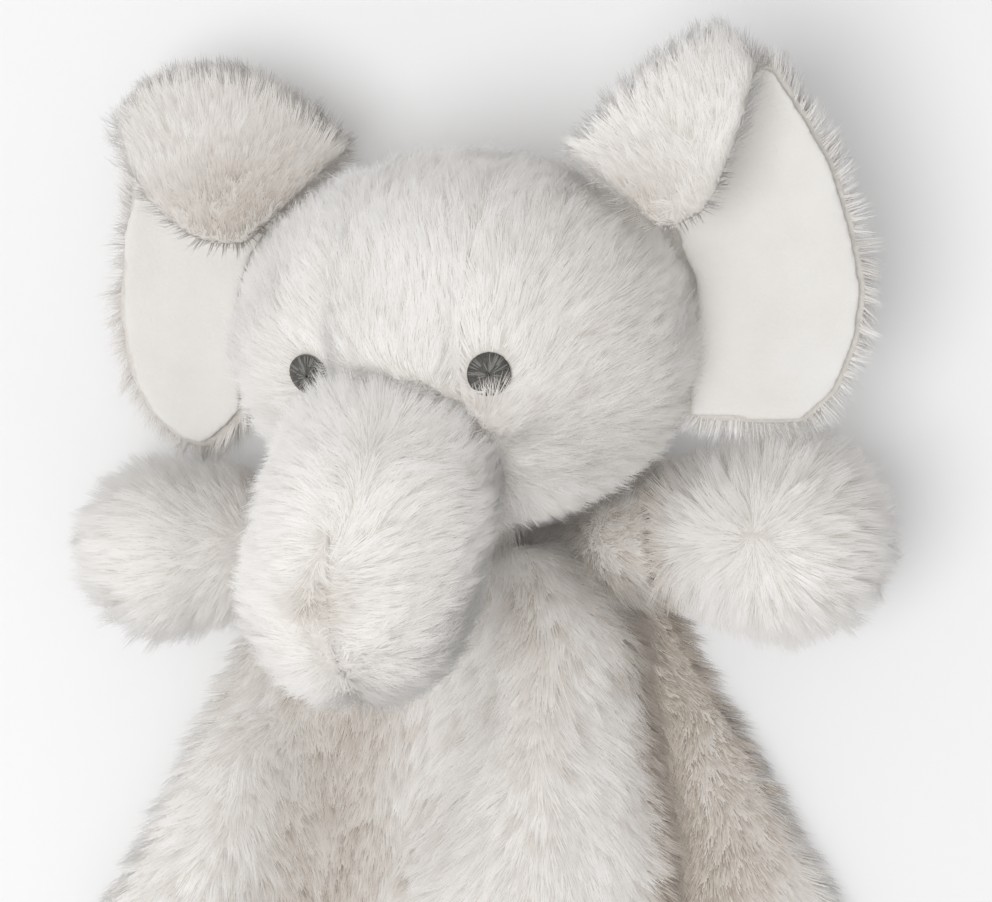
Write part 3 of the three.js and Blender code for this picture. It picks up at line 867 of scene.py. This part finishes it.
# ---- Eyes
# Each eye is a round of satin stitches in charcoal thread, worked from the rim to the middle over a
# small pad. A share of the stitches take a lighter grey thread as a painted highlight.

# A lighter grey thread: a painted highlight on the satin stitches
thread_highlight, shader = plain_material("thread_highlight", (0.21, 0.205, 0.19), 0.5)
shader.inputs["Sheen Weight"].default_value = 0.3
thread_charcoal, shader = plain_material("thread_charcoal", (0.07, 0.068, 0.06), 0.55)
shader.inputs["Sheen Weight"].default_value = 0.2
place = node(thread_charcoal, "ShaderNodeTexCoord")
strands = node(thread_charcoal, "ShaderNodeTexNoise", Vector=place.outputs["Object"], Scale=1500.0)
thread_charcoal.node_tree.links.new(
    colour_mix(thread_charcoal, strands.outputs["Fac"], (0.035, 0.034, 0.03), (0.14, 0.137, 0.125)),
    shader.inputs["Base Color"],
)


def facing_place(middle, facing):
    """The matrix that puts a piece made at the origin at a place, with its z to that side."""
    return Matrix.Translation(Vector(middle)) @ Vector(facing).to_track_quat("Z", "Y").to_matrix().to_4x4()


for side in ("left", "right"):
    name = "eye_" + side
    pad_points = points_of(frame["nodes"][name].data)
    pad_middle = pad_points.mean(0)
    pad_faces = np.linalg.svd(pad_points - pad_middle)[2][2]
    pad_faces *= np.sign(pad_faces @ (pad_middle - head_centre))
    pad_place, place_eye = facing_place(pad_middle, pad_faces), facing_place(eyes[side], eye_faces[side])
    bpy.ops.object.select_all(action="DESELECT")
    bpy.ops.mesh.primitive_uv_sphere_add(segments=6, ring_count=5, radius=1)
    stitch = bpy.context.object
    stitch.data.materials.append(thread_charcoal)
    stitch.data.materials.append(thread_highlight)
    rng = np.random.default_rng(90)
    # The share of stitches given the painted highlight thread
    highlight_share = 0.38
    copies = []
    for rim, inner, count, height in ((0.0056, 0.0022, 72, 0.0002), (0.0040, 0.0003, 44, 0.0005)):
        for number in range(count):
            angle = 2 * math.pi * number / count + rng.normal() * 0.02
            long = rim - inner + rng.normal() * 0.00025
            copy = bpy.data.objects.new("stitch", stitch.data.copy())
            scene.collection.objects.link(copy)
            thread = int(rng.random() < highlight_share)
            copy.data.polygons.foreach_set("material_index", [thread] * len(copy.data.polygons))
            copy.data.transform(
                place_eye
                @ Matrix.Rotation(angle, 4, "Z")
                @ Matrix.Translation(((rim + inner) / 2, 0, height + 0.0003))
                @ Matrix.Rotation(math.radians(9 + 3 * rng.normal()), 4, "Y")
                @ Matrix.Diagonal((long / 2 * 1.08, 0.00027, 0.00042, 1))
            )
            copies.append(copy)
    pad = merged_copy(name + "_pad", name)
    pad.data.transform(place_eye @ Matrix.Diagonal((0.98, 0.98, 0.55, 1)) @ pad_place.inverted())
    pad.data.materials.append(thread_charcoal)
    select_only(pad)
    for copy in copies:
        copy.select_set(True)
    bpy.ops.object.join()
    pad.name = name + "_stitches"
    bpy.data.objects.remove(stitch)
    pad.data.polygons.foreach_set("use_smooth", [True] * len(pad.data.polygons))
    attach(pad, "head")
    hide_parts(name)
